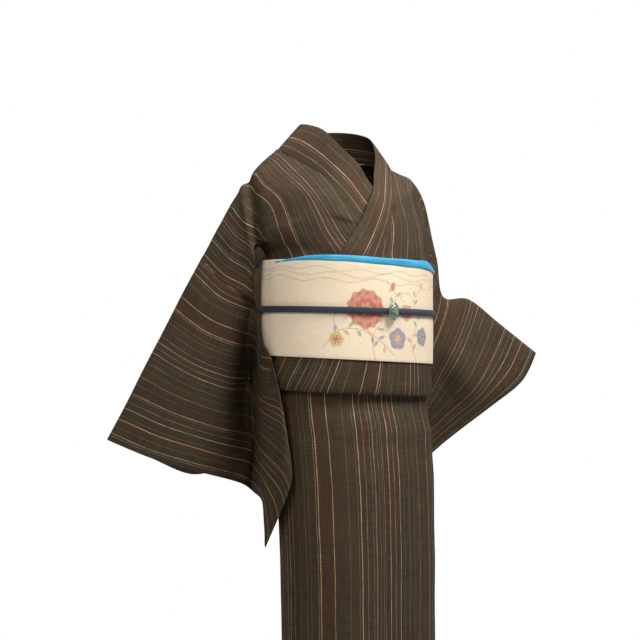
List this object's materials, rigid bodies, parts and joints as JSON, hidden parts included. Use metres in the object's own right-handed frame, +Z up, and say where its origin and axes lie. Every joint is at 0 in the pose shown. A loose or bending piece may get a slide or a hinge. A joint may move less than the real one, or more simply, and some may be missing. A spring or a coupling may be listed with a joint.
{
  "type": "worn kimono with tied sash",
  "caption": "Woman's striped slub-silk kimono in its worn shape, hollow, with its sash tied in a flat roll at the back, scarf, flat cord and oval clasp.",
  "frame": {"origin": "base of the wearer's neck, level with the top of the shoulders, where the wearer holds the garment", "axes": "+X towards the wearer's left, -Y towards the front, +Z up"},
  "size_m": [0.7781, 0.3608, 1.3873],
  "materials": {
    "kimono": "matte slub silk with woven stripes",
    "sash": "fine plain weave, low sheen, with a dyed design",
    "scarf": "soft crepe silk",
    "cord": "flat silk braid",
    "clasp": "polished stone set in a metal rim"
  },
  "bodies": {
    "root": {"body_right_upper": "kimono", "body_left_upper": "kimono", "waist_fold_right": "kimono", "waist_fold_left": "kimono", "back_right_skirt": "kimono", "front_right_skirt": "kimono", "overlap_right": "kimono", "back_left_skirt": "kimono", "front_left_skirt": "kimono", "overlap_left": "kimono", "collar": "kimono", "sleeve_right_front": "kimono", "sleeve_right_back": "kimono", "sleeve_left_front": "kimono", "sleeve_left_back": "kimono", "sash_band": "sash", "sash_drum": "sash", "sash_tail": "sash", "sash_hand_end": "sash", "scarf": "scarf", "cord": "cord", "clasp": "clasp"}
  },
  "joints": []
}
